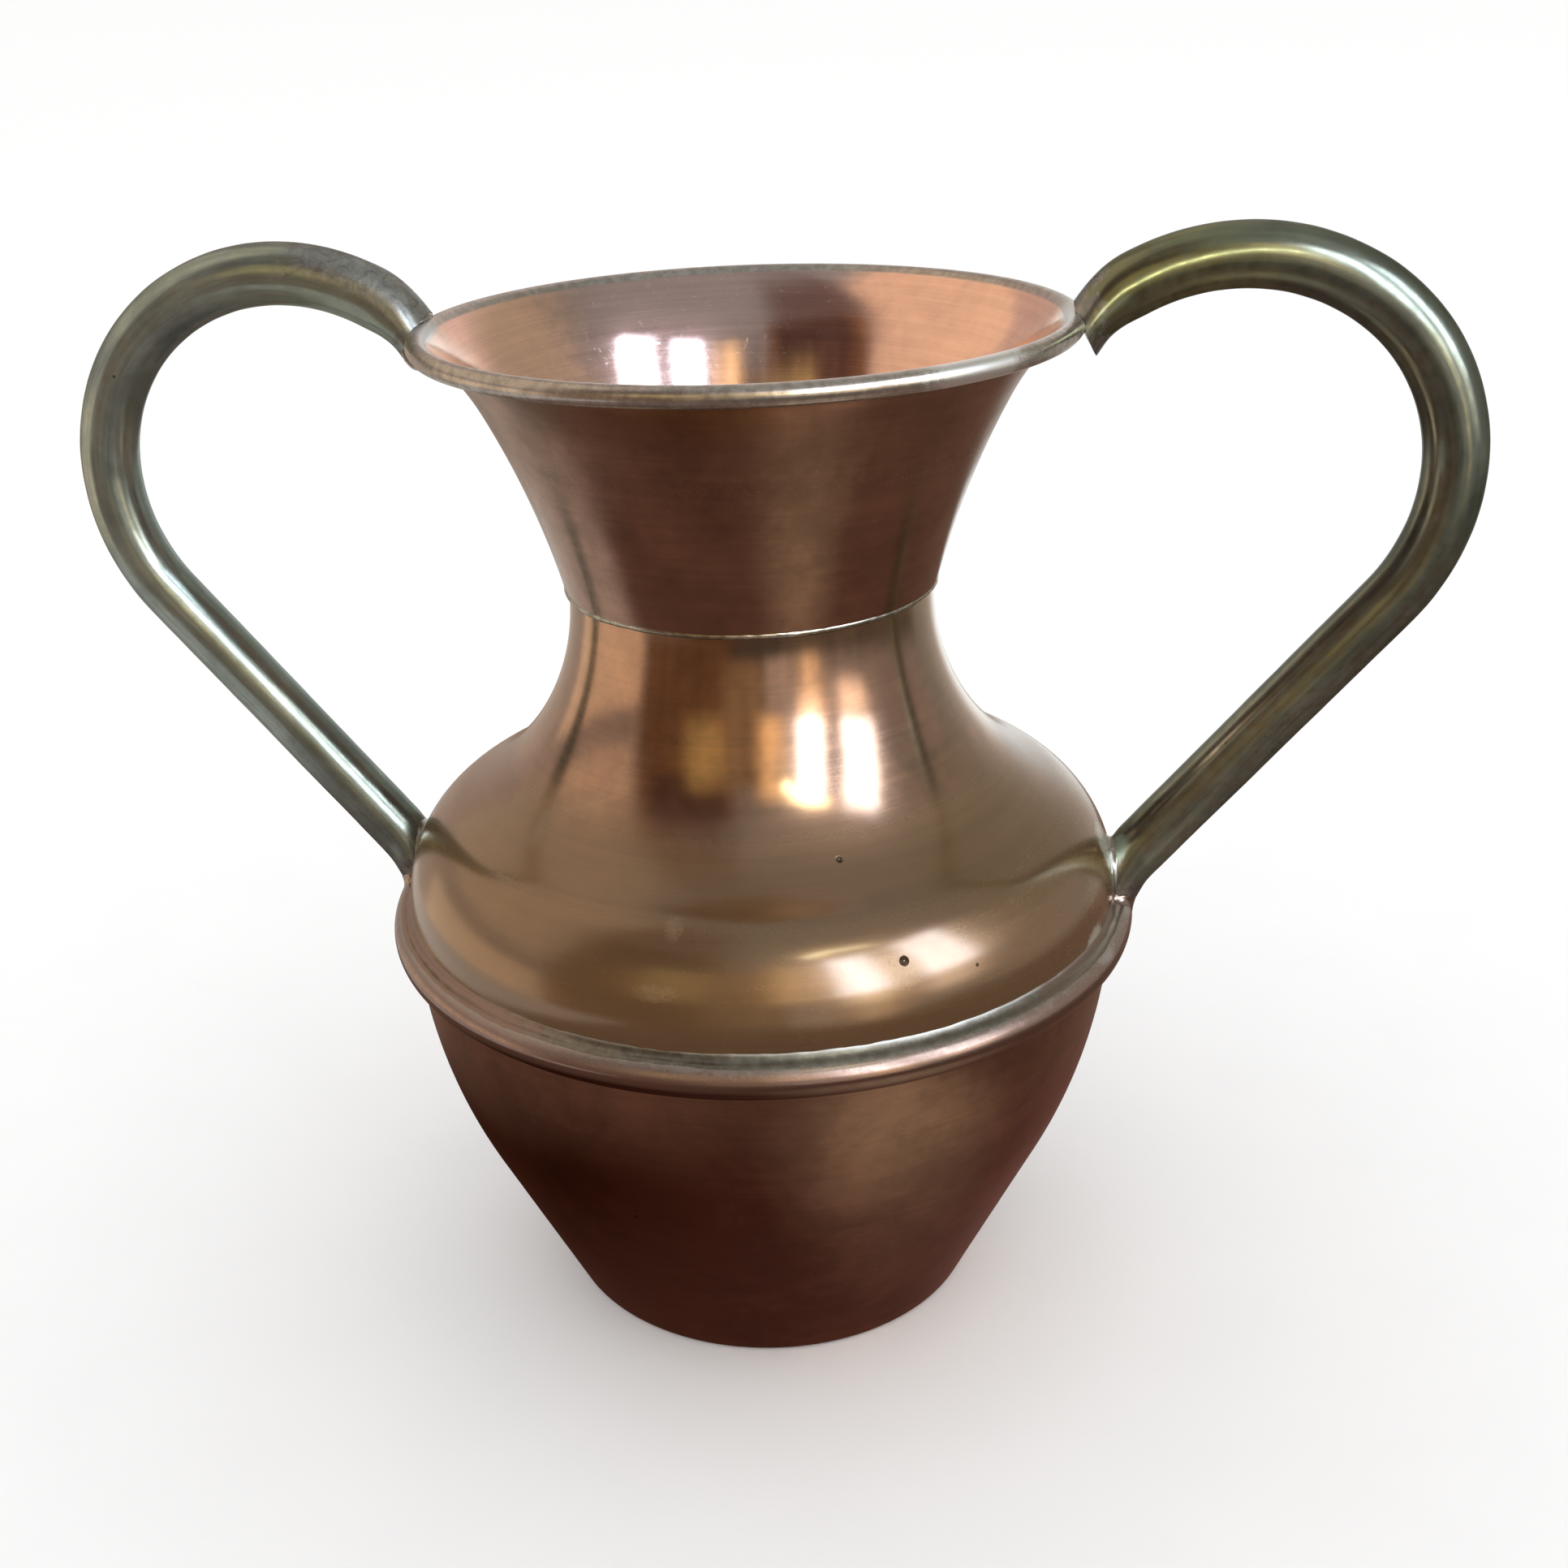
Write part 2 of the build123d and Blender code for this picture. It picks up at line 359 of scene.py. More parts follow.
def circle_distance(point, centre, radius):
    """Signed distance from a point to a ring of round section."""
    return math.hypot(math.hypot(point.x, point.y) - centre.x, point.z - centre.y) - radius


def belly_distance(point):
    """Signed distance from a point to the body around the handles' feet."""
    return min(shoulder_distance(point), circle_distance(point, bead_centre, bead_radius))


def rim_distance(point):
    """Signed distance from a point to the rolled rim."""
    return circle_distance(point, roll_centre, roll_radius)


def mouth_distance(point):
    """Distance of a point in front of the slanted cut across the tube's upper end."""
    along = (mouth_cut_tip - mouth_cut_top).normalized()
    return (Vector((point.x, point.z)) - mouth_cut_top).dot(Vector((-along.y, along.x)))


def rim_clearance(point):
    return min(rim_distance(point), mouth_distance(point))


def first_touch(clearance, around, inset, start, end, step=0.25):
    """Where a line of the tube, followed from one place towards another, first touches a surface."""
    count = max(1, round(abs(end - start) / step))
    before = start
    for i in range(1, count + 1):
        here = start + (end - start) * i / count
        if clearance(tube_point(here, around, inset)) < 0:
            for _ in range(12):
                middle = (before + here) / 2
                if clearance(tube_point(middle, around, inset)) < 0:
                    here = middle
                else:
                    before = middle
            return before
        before = here
    return end


def outward(distance, point, reach=0.05):
    """The direction in which the distance from a surface grows."""
    steps = [axis * reach for axis in Matrix.Identity(3)]
    return Vector([distance(point + step) - distance(point - step) for step in steps]).normalized()


def onto(distance, point, gap):
    """The nearest point at a given gap from a surface."""
    for _ in range(4):
        point = point - outward(distance, point) * (distance(point) - gap)
    return point


def mirrored(points, side):
    """Points of the right handle, or their mirror images for the left one."""
    return [(side * p[0], p[1], p[2]) for p in points]


foot_zone = foot_nip_run + foot_nip_length + 10.0
rim_zone = handle_length - rim_nip_run - rim_nip_length - 8.0
end_rings = 26


def handle_rows(inset):
    """Rings of points along the tube, whose first and last follow the body."""
    arounds = [math.tau * i / tube_lines for i in range(tube_lines)]
    starts = [first_touch(belly_distance, a, inset, foot_zone, 0.0) for a in arounds]
    ends = [first_touch(rim_clearance, a, inset, rim_zone, handle_length) for a in arounds]
    near_foot, near_rim = [foot_zone] * tube_lines, [rim_zone] * tube_lines
    middle_rings = math.ceil((rim_zone - foot_zone) / long_step)
    rows = []
    for before, after, count in (
        (starts, near_foot, end_rings), (near_foot, near_rim, middle_rings), (near_rim, ends, end_rings)
    ):
        for i in range(count):
            rows.append([(b + (e - b) * i / count, a) for b, e, a in zip(before, after, arounds)])
    return rows + [list(zip(ends, arounds))]


def dented(point, inset):
    """A tube's point pulled in by the slight unevenness of hand bending."""
    depth = 0.05 * (1 + smooth_noise(point, 9.0, 5.3)) + 0.03 * (1 + smooth_noise(point, 3.5, 1.9))
    return depth if inset == 0 else 0.0


def handle_tube(name, side, materials):
    """A bent brass tube with its bore, coped to the rim and the belly."""
    vertices, faces, along_marks = [], [], []
    shells = []
    for inset in (0.0, tube_wall):
        rows = handle_rows(inset)
        shells.append((len(vertices), len(rows)))
        for row in rows:
            for along, around in row:
                point = tube_point(along, around, inset)
                vertices.append(tube_point(along, around, inset + dented(point, inset)))
                along_marks.append((along, around))
        faces += ring_faces(len(rows), tube_lines, shells[-1][0])
    (outer, count), (inner, _) = shells
    for skipped in (0, (count - 1) * tube_lines):
        faces += bridge(outer + skipped, inner + skipped, tube_lines)
    piece = make_object(name, mirrored(vertices, side), faces, materials)
    layer = piece.data.uv_layers.new(name="tube")
    for loop in piece.data.loops:
        along, around = along_marks[loop.vertex_index]
        layer.data[loop.index].uv = (around * tube_radius * MM, along * MM)
    return piece


# ---- solder


def neck_seam(name, materials):
    """The uneven line of solder under the funnel's foot."""
    corners = 14
    centre_away, centre_low = 37.34, 160.72
    half_width, half_height = 0.52, 0.66

    def section_at(angle):
        place = round_axis(neck_radius, angle)
        swell = 1 + 0.25 * smooth_noise(place, 7.0, 2.2) + 0.15 * smooth_noise(place, 1.8, 6.1)
        low = centre_low + 0.12 * smooth_noise(place, 5.0, 9.4)
        shape = []
        for k in range(corners):
            turn = math.tau * k / corners
            across = centre_away + half_width * swell * math.cos(turn)
            shape.append((across, low + half_height * swell * math.sin(turn)))
        return shape

    return make_object(name, *turned(section_at, 2 * body_segments), materials, sharp=80)


def belly_seam(name, materials):
    """The fillet of solder that runs from the shoulder's skirt out over the bead."""
    steps = 7
    rise = 1.35  # above the bead's top, on the skirt
    edge_angle = 58  # where the fillet ends on the bead, in degrees above its centre
    skin = 0.05  # the least thickness over the bead
    sunk = 0.4  # how deep the hidden side lies in the bead
    inner_radius = skirt_radius - 0.25

    def section_at(angle):
        place = round_axis(bead_centre.x, angle)
        broad = smooth_noise(place, 14.0, 4.4)
        close = smooth_noise(place, 2.6, 7.7)
        top = Vector((inner_radius, bead_centre.y + bead_radius + rise + 0.2 * broad + 0.12 * close))
        edge = bead_centre + direction(edge_angle - 5 * broad + 2.5 * close) * (bead_radius - 0.02)
        sag = 0.2 - 0.05 * close
        curve = []
        for k in range(steps + 1):
            share = k / steps
            point = top.lerp(edge, share) - Vector((sag, sag)) * 4 * share * (1 - share)
            gap = (point - bead_centre).length - bead_radius
            if gap < skin and 0 < k < steps:
                point = bead_centre + (point - bead_centre).normalized() * (bead_radius + skin)
            curve.append(tuple(point))
        below = bead_centre + direction(75) * (bead_radius - sunk)
        return curve + [tuple(below), (inner_radius, bead_centre.y + bead_radius - sunk)]

    return make_object(name, *turned(section_at, 2 * body_segments), materials, sharp=60)


def foot_joint(name, side, materials, seed):
    """The fillet of solder round a handle's foot."""
    steps = 7
    lines = 96
    vertices = []
    for i in range(lines):
        around = math.tau * i / lines
        touch = first_touch(belly_distance, around, 0.0, foot_zone, 0.0)
        corner = tube_point(touch, around)
        lump = smooth_noise(corner, 3.0, seed)
        climb = 1.5 + 0.6 * lump + 0.3 * smooth_noise(corner, 1.2, seed + 4)
        spread = 1.3 + 0.6 * smooth_noise(corner, 2.4, seed + 9)
        high = tube_point(touch + climb, around)
        axis_point, _ = handle_station(touch)
        away = corner - Vector((axis_point.x, 0, axis_point.y))
        flat = outward(belly_distance, corner)
        away = (away - flat * away.dot(flat)).normalized()
        low = onto(belly_distance, corner + away * spread, -0.02)
        middle = corner.lerp((high + low) / 2, 0.55 + 0.15 * lump)
        for k in range(steps + 1):
            share = k / steps
            vertices.append(high.lerp(middle, share).lerp(middle.lerp(low, share), share))
        # Three points sunk in the body and the tube close the section.
        vertices.append(onto(belly_distance, low, -0.35))
        vertices.append(onto(belly_distance, tube_point(touch, around, 0.6), -0.2))
        vertices.append(tube_point(touch + climb, around, 0.4))
    faces = ring_faces(lines, len(vertices) // lines, closed=True)
    return make_object(name, mirrored(vertices, side), faces, materials, sharp=70)


def rim_joint(name, side, materials, seed, run):
    """Solder that fills a handle's upper end against the rim, and runs along under it."""
    lines = 64
    shares = (1.0, 0.92, 0.8, 0.6, 0.35, 0.0)  # rings of the plug's face, from its edge to its middle
    inset = 0.3  # how deep the plug's edge lies in the tube's wall
    depth = 3.0
    vertices = []
    for level in ("front", "back"):
        for share in shares:
            for i in range(lines):
                around = math.tau * i / lines
                edge = first_touch(rim_clearance, around, inset, rim_zone, handle_length)
                wall = tube_point(edge, around, inset + 0.15 * (1 - share))
                centre_edge = first_touch(mouth_distance, around, tube_radius, rim_zone, handle_length)
                centre, _ = handle_station(centre_edge)
                point = Vector((centre.x, 0, centre.y)).lerp(wall, share)
                if level == "front":
                    swell = 0.55 * (1 - share * share) + 0.18 * smooth_noise(point, 2.2, seed)
                    point = point - Vector((swell, 0, 0.3 * swell))
                    if rim_distance(point) < 0.03:
                        point = onto(rim_distance, point, 0.03)
                else:
                    _, heading = handle_station(edge)
                    back = direction(heading) * -depth
                    point = point + Vector((back.x, 0, back.y)) * (0.6 + 0.4 * (1 - share))
                vertices.append(point)
    back = len(shares) * lines
    faces = ring_faces(len(shares), lines) + ring_faces(len(shares), lines, back)
    faces += bridge(0, back, lines)

    start, end, thick = run
    corners = 12
    segments = 60
    down, along = direction(-48), direction(42)  # out of the roll's lower side, and along its surface
    base = len(vertices)
    for i in range(segments + 1):
        share = i / segments
        angle = math.radians(start + (end - start) * share)
        full = max(math.sin(math.pi * share), 0.0) ** 0.6
        place = round_axis(roll_centre.x, angle)
        size_here = thick * full * (1 + 0.2 * smooth_noise(place, 3.0, seed + 2))
        centre = roll_centre + down * (roll_radius - 0.25 + 0.45 * size_here)
        for k in range(corners):
            turn = math.tau * k / corners
            spot = centre + down * 0.62 * size_here * math.cos(turn)
            spot = spot + along * 1.25 * size_here * math.sin(turn)
            vertices.append(round_axis(spot.x, angle, spot.y))
    faces += ring_faces(segments + 1, corners, base)
    return make_object(name, mirrored(vertices, side), faces, materials, sharp=70)


# ---- materials


class Graph:
    """Short calls that add the nodes of a material or world, and join them."""

    def __init__(self, owner):
        owner.use_nodes = True
        self.owner = owner
        self.tree = owner.node_tree
        self.tree.nodes.clear()

    def add(self, kind, inputs=None, output=0, **settings):
        node = self.tree.nodes.new("ShaderNode" + kind)
        for key, value in settings.items():
            setattr(node, key, value)
        for key, value in (inputs or {}).items():
            if isinstance(value, bpy.types.NodeSocket):
                self.tree.links.new(value, node.inputs[key])
            elif node.inputs[key].type == "RGBA":
                node.inputs[key].default_value = (*value, 1.0)
            else:
                node.inputs[key].default_value = value
        return node.outputs[output] if node.outputs else None

    def show(self, shader, inputs, target="OutputMaterial"):
        """Make a shader what the material or world shows."""
        self.add(target, {"Surface": self.add(shader, inputs)})

    def math(self, operation, *values):
        return self.add("Math", dict(enumerate(values)), operation=operation)

    def plus(self, *values):
        return self.math("ADD", *values)

    def times(self, *values):
        return self.math("MULTIPLY", *values)

    def vector(self, operation, *values, output=0):
        return self.add("VectorMath", dict(enumerate(values)), output, operation=operation)

    def place(self):
        """The shaded point on the object, in metres."""
        return self.add("TexCoord", output=3)

    def parts(self, vector):
        """A vector's three parts."""
        return self.add("SeparateXYZ", {0: vector}).node.outputs

    def noise(self, place, size, detail=3.0, roughness=0.55, distortion=0.0):
        """Noise from 0 to 1 with features of about that size in millimetres."""
        inputs = {"Vector": place, "Scale": 1 / (size * MM), "Detail": detail, "Roughness": roughness}
        return self.add("TexNoise", inputs | {"Distortion": distortion})

    def step(self, value, low, high, to_low=0.0, to_high=1.0):
        """A smooth change from one value to another as the input goes from low to high."""
        inputs = {"Value": value, "From Min": low, "From Max": high, "To Min": to_low, "To Max": to_high}
        return self.add("MapRange", inputs, interpolation_type="SMOOTHSTEP")

    def mix(self, factor, first, second, blend="MIX"):
        """Two colours mixed by a factor."""
        inputs = {0: factor, 6: first, 7: second}
        return self.add("Mix", inputs, 2, data_type="RGBA", blend_type=blend)

    def uneven(self, number, value, spread):
        """A number, spread about itself by a value from 0 to 1."""
        return self.plus(number, self.times(self.math("SUBTRACT", value, 0.5), spread))


def new_material(name):
    return Graph(bpy.data.materials.new(name))


class Surface:
    """A metal's colour, roughness and bump, on which marks are laid one after another."""

    def __init__(self, graph, tone, rough):
        self.graph = graph
        self.tone = tone
        self.rough = rough
        self.normal = None

    def roughen(self, mask, amount):
        """Add an amount to the surface's roughness where the mask is 1."""
        self.rough = self.graph.plus(self.rough, self.graph.times(mask, amount))

    def vary(self, value, spread):
        """Spread the surface's roughness about itself by a value from 0 to 1."""
        self.rough = self.graph.uneven(self.rough, value, spread)

    def lay(self, mask, tone, strength=None, rougher=None):
        """Lay a colour over the surface where the mask is 1, and add to its roughness there."""
        covered = mask if strength is None else self.graph.times(mask, strength)
        self.tone = self.graph.mix(covered, self.tone, tone)
        if rougher is not None:
            self.roughen(mask, rougher)

    def shade(self, value):
        """Multiply the surface's colour by a number."""
        self.tone = self.graph.mix(1.0, self.tone, grey(self.graph, value), "MULTIPLY")

    def emboss(self, height, distance, strength=1.0):
        """Raise the surface where the height is 1, by a distance in millimetres."""
        inputs = {"Strength": strength, "Distance": distance * MM, "Height": height}
        if self.normal is not None:
            inputs["Normal"] = self.normal
        self.normal = self.graph.add("Bump", inputs)

    def finish(self, metallic=1.0, turned_lines=False, coat=0.0, edge=1.0):
        """The surface's material. What is not metallic is dull tarnish.

        Turned lines stretch its highlights, and an edge below 1 dims its mirror at a grazing view.
        """
        inputs = {"Base Color": self.tone, "Metallic": metallic, "Roughness": self.rough}
        inputs |= {"Normal": self.normal, "Specular Tint": (edge, edge, 0.95 * edge)}
        if turned_lines:
            inputs |= {"Coat Weight": coat, "Coat Roughness": 0.15, "Coat IOR": 1.8}
            inputs |= {"Coat Normal": self.normal, "Coat Tint": (1.0, 0.92, 0.74), "Anisotropic": 0.45}
            inputs["Tangent"] = self.graph.add("Tangent", direction_type="RADIAL", axis="Z")
        self.graph.show("BsdfPrincipled", inputs)
        return self.graph.owner


def section_place(graph, place):
    """A point's distance from the Z axis and its height, as a vector in the section's plane."""
    flat = graph.vector("MULTIPLY", place, (1, 1, 0))
    away = graph.vector("LENGTH", flat, output=1)
    height = graph.parts(place)[2]
    return graph.add("CombineXYZ", {0: away, 1: 0.0, 2: height}), height


def near_ring(graph, section, centre, close, far):
    """1 near a ring round the axis, fading to 0 between two distances in millimetres."""
    spot = (centre[0] * MM, 0, centre[1] * MM)
    gap = graph.vector("DISTANCE", section, spot, output=1)
    return graph.step(gap, close * MM, far * MM, 1.0, 0.0)


def near_point(graph, place, centre, close, far, stretch=(1, 1, 1)):
    """1 near a point, fading to 0 between two distances, which may be stretched along each axis."""
    offset = graph.vector("SUBTRACT", place, tuple(c * MM for c in centre))
    scaled = graph.vector("MULTIPLY", offset, stretch)
    gap = graph.vector("LENGTH", scaled, output=1)
    return graph.step(gap, close * MM, far * MM, 1.0, 0.0)


def grey(graph, value):
    return graph.add("CombineColor", {0: value, 1: value, 2: value})


def spun_lines(graph, section, place):
    """Fine turned lines round the axis, from 0 to 1."""
    drift = graph.vector("MULTIPLY", place, (0.02, 0.02, 0))
    along = graph.vector("ADD", section, drift)
    fine = graph.noise(along, 0.35, 2.0, 0.6)
    broad = graph.noise(along, 1.6, 2.0, 0.5)
    return graph.plus(graph.times(fine, 0.45), graph.times(broad, 0.55))


def pits(graph, place, spacing, size):
    """1 in small scattered pits, and 0 elsewhere."""
    cell = graph.add("TexVoronoi", {"Vector": place, "Scale": 1 / (spacing * MM)})
    chosen = graph.add("SeparateColor", {0: cell.node.outputs["Color"]})
    reach = graph.times(graph.step(chosen, 0.72, 1.0), size / spacing)
    return graph.math("LESS_THAN", cell, reach)


# Marks on the copper, in millimetres: a centre, then a radius, or a stretch along each axis and a reach.
dark_pits = [((34.7, -63.0, 107.7), 0.95), ((21.8, -49.9, 121.6), 0.7), ((48.0, -56.3, 103.7), 0.35)]
scuffs = [
    ((-7.5, -65.2, 114.2), (1.4, 1, 0.6), 5.0),
    ((-10.3, -73.0, 104.5), (0.6, 1, 1.6), 5.0),
    ((33.0, -65.0, 106.0), (0.6, 1, 1.2), 7.0),
    ((71.5, -20.0, 103.0), (1, 0.5, 1), 8.0),
]
foot_smears = [
    ((73.0, -4.0, 104.5), (1, 0.7, 0.9), 8.0),
    ((77.5, -6.0, 93.0), (1, 0.6, 1), 6.5),
    ((72.0, -27.0, 93.0), (1, 0.7, 1), 7.0),
]
rim_washes_and_highlight = [  # each ends with how pale the wash is
    ((-63.0, -8.0, 211.0), 14.0, 0.46),
    ((64.0, 0.0, 211.0), 16.0, 0.54),
    # The third, at the rim's front right, is partly tin and partly a painted highlight where the rim mirrors
    # the windows.
    ((46.0, -45.0, 211.0), 20.0, 0.76),
]


def inner_haze(surface, place, share, mottle):
    """A pale haze with specks in it, on the inside of the mouth."""
    graph = surface.graph
    near = near_point(graph, place, (-16, 52, 209), 14, 50)
    haze = graph.step(graph.uneven(near, mottle, 0.5), 0.1, 0.8)
    surface.lay(haze, graph.mix(share, (0.57, 0.43, 0.40), (0.46, 0.335, 0.32)))
    specks = graph.times(graph.step(graph.noise(place, 1.6, 6.0, 0.75, 0.8), 0.58, 0.70), haze)
    surface.lay(specks, (0.78, 0.68, 0.66), 0.6, 0.12)


def dome_tarnish(surface, section, height, share):
    """Brown tarnish on the dome, and a duller neck foot and flare. It returns how metallic they are."""
    graph = surface.graph
    dome = graph.times(graph.step(height, 0.132, 0.120), graph.step(height, 0.0885, 0.0915))
    brown = graph.mix(share, (0.228, 0.138, 0.074), (0.157, 0.096, 0.051))
    surface.lay(dome, brown, rougher=0.10)
    surface.roughen(near_ring(graph, section, (57, 120), 5, 12), 0.10)
    surface.roughen(near_ring(graph, section, (56, 206), 10, 36), 0.16)
    return graph.math("SUBTRACT", 1.0, graph.times(dome, 0.32))


def handling_marks(surface, place):
    """Dull scuffs on the shoulder, and pale smears of solder by the right handle's foot."""
    graph = surface.graph
    ragged = graph.noise(place, 0.9, 5.0, 0.8)
    for centre, stretch, reach in scuffs:
        patch = graph.times(near_point(graph, place, centre, 0.2 * reach, reach, stretch), ragged)
        surface.lay(graph.step(patch, 0.22, 0.60), (0.36, 0.27, 0.19), 0.3, 0.10)
    for centre, stretch, reach in foot_smears:
        near = near_point(graph, place, centre, 0.2 * reach, reach, stretch)
        within = near_point(graph, place, centre, 0.7 * reach, reach, stretch)
        smear = graph.step(graph.uneven(near, ragged, 0.9), 0.45, 0.9)
        surface.lay(graph.times(smear, within), (0.60, 0.64, 0.65), rougher=0.12)


def tinned_rim(surface, section, place, ragged, outside):
    """Grey tin on the rolled rim, with paler washes of it near the handles and one at its front right that is
    partly a painted highlight. It returns 1 on the rim.
    """
    graph = surface.graph
    on_rim = near_ring(graph, section, roll_centre, 2.15, 2.5)
    tin = graph.mix(graph.step(ragged, 0.35, 0.65), (0.43, 0.42, 0.385), (0.29, 0.285, 0.26))
    surface.lay(on_rim, tin, 0.9, None if outside else 0.14)
    by_rim = near_ring(graph, section, roll_centre, 2.2, 3.4)
    for centre, reach, pale in rim_washes_and_highlight:
        near = near_point(graph, place, centre, 0.1 * reach, reach)
        # The palest wash, at the rim's front right, is partly a painted highlight.
        wash = graph.step(graph.uneven(near, ragged, 1.3), 0.25, 0.85)
        surface.lay(graph.times(wash, by_rim), (pale, 1.02 * pale, pale), rougher=0.06)
    return on_rim


def worn_bead(surface, section, height, ragged):
    """Worn brown copper on the bead, with tin on its top beside the seam."""
    graph = surface.graph
    bead = near_ring(graph, section, bead_centre, 4.2, 4.8)
    surface.lay(bead, graph.mix(ragged, (0.32, 0.225, 0.19), (0.20, 0.145, 0.125)), 0.8)
    surface.roughen(bead, graph.step(ragged, 0.35, 0.65, -0.03, 0.07))
    top = graph.times(graph.step(height, 0.0909, 0.0924), near_ring(graph, section, bead_centre, 4.3, 5.0))
    surface.lay(graph.times(top, graph.step(ragged, 0.35, 0.6, 0.5, 0.95)), (0.30, 0.27, 0.235))


def copper(name, clean, aged, roughness, outside, coat=0.0):
    """Spun copper under a thin brown patina, with turned lines, pits and handling marks."""
    graph = new_material(name)
    place = graph.place()
    section, height = section_place(graph, place)
    blotches = graph.noise(place, 26, 4.0, 0.6, 0.6)
    mottle = graph.noise(place, 4.0, 4.0, 0.65)
    lines = spun_lines(graph, section, place)
    share = graph.plus(graph.times(blotches, 0.75), graph.times(mottle, 0.25))
    tone = graph.mix(graph.step(share, 0.34, 0.66), clean, aged)
    surface = Surface(graph, tone, graph.uneven(roughness, mottle, 0.10))
    surface.vary(graph.noise(place, 0.45, 2.0, 0.6), 0.09)
    surface.vary(lines, 0.08)
    if outside:
        metal = dome_tarnish(surface, section, height, share)
    else:
        metal = 1.0
        inner_haze(surface, place, share, mottle)

    surface.shade(graph.step(lines, 0.35, 0.65, 0.93, 1.04))
    marks = pits(graph, place, 9.0, 0.5)
    if outside:
        for centre, radius in dark_pits:
            spot = near_point(graph, place, centre, 0.8 * radius, 1.1 * radius)
            marks = graph.math("MAXIMUM", marks, spot)
    surface.lay(marks, (0.05, 0.035, 0.03), 0.75)
    if outside:
        handling_marks(surface, place)
    ragged = graph.noise(place, 2.4, 4.0, 0.7)
    on_rim = tinned_rim(surface, section, place, ragged, outside)
    metal = graph.math("SUBTRACT", metal, graph.times(on_rim, 0.08))
    if outside:
        worn_bead(surface, section, height, ragged)

    dents = graph.noise(place, 12.0, 2.0, 0.5)
    flutes = graph.noise(graph.vector("MULTIPLY", place, (1, 1, 0.12)), 5.0, 2.0, 0.5)
    surface.emboss(lines, 0.0016)
    surface.emboss(dents, 0.02)
    surface.emboss(flutes, 0.010)
    surface.emboss(graph.math("SUBTRACT", 1.0, marks), 0.05, 0.6)
    if outside:
        for centre, radius in dark_pits:
            hollow = near_point(graph, place, centre, 0.05 * radius, 1.15 * radius)
            surface.emboss(graph.math("SUBTRACT", 1.0, hollow), 0.7 * radius)
    return surface.finish(metal, True, coat)


def brass(name, washed, clean, aged, metal, yellow, foot):
    """Old brass tube under an olive tarnish, streaked along its length and grey near the solder.

    The grey reaches `washed` millimetres from the rim. `yellow` is how gilt the crown is, and `foot` how much
    lighter the leg gets towards its foot.
    """
    graph = new_material(name)
    place = graph.place()
    tube = graph.add("UVMap", uv_map="tube")
    around, along, _ = graph.parts(tube)
    streaks = graph.noise(graph.vector("MULTIPLY", tube, (1.0, 0.06, 0)), 1.0, 3.0, 0.6)
    blotches = graph.noise(place, 14.0, 4.0, 0.6, 0.5)
    mottle = graph.noise(place, 2.5, 4.0, 0.65)
    share = graph.plus(graph.times(blotches, 0.7), graph.times(mottle, 0.3))
    tone = graph.mix(graph.step(share, 0.3, 0.7), clean, aged)
    surface = Surface(graph, tone, graph.uneven(0.22, mottle, 0.14))
    surface.vary(streaks, 0.10)
    surface.shade(graph.step(streaks, 0.3, 0.7, 0.85, 1.08))
    surface.shade(graph.step(along, 0.020, 0.105, foot, 1.0))
    gilt = near_point(graph, graph.vector("ABSOLUTE", place), (76, 0, 211), 10, 34)
    gilt = graph.times(gilt, graph.step(blotches, 0.2, 0.7, 1.0, 0.5))
    surface.lay(gilt, (0.30, 0.30, 0.12), yellow)
    surface.lay(pits(graph, place, 6.0, 0.35), (0.04, 0.035, 0.02), 0.7)

    # The grey: a band at the rim, a longer patch on the outer side, and a band at the foot.
    edge = graph.uneven(along, graph.noise(place, 5.0, 5.0, 0.7), 0.030)
    off_side = graph.math("ABSOLUTE", graph.math("SUBTRACT", around, math.pi * tube_radius * MM))
    off_side = graph.uneven(off_side, graph.noise(place, 4.0, 5.0, 0.7), 0.012)
    upper = graph.step(edge, (handle_length - 7.0) * MM, (handle_length - 4.0) * MM)
    longer = graph.step(edge, (handle_length - washed - 3.0) * MM, (handle_length - washed) * MM)
    longer = graph.times(longer, graph.step(off_side, 0.007, 0.010, 1.0, 0.0))
    lower = graph.step(edge, 0.006, 0.010, 1.0, 0.0)
    wash = graph.math("MAXIMUM", graph.math("MAXIMUM", upper, longer), lower)
    cloudy = graph.step(graph.noise(place, 3.2, 5.0, 0.7, 1.0), 0.3, 0.7)
    greys = graph.mix(cloudy, (0.165, 0.175, 0.165), (0.33, 0.335, 0.315))
    surface.lay(wash, greys, rougher=0.06)

    surface.emboss(streaks, 0.003)
    surface.emboss(graph.noise(place, 0.9, 3.0, 0.7), 0.0035)
    surface.emboss(graph.noise(place, 6.0, 3.0, 0.5), 0.02)
    return surface.finish(graph.step(mottle, 0.3, 0.7, metal + 0.05, metal - 0.04), edge=0.45)


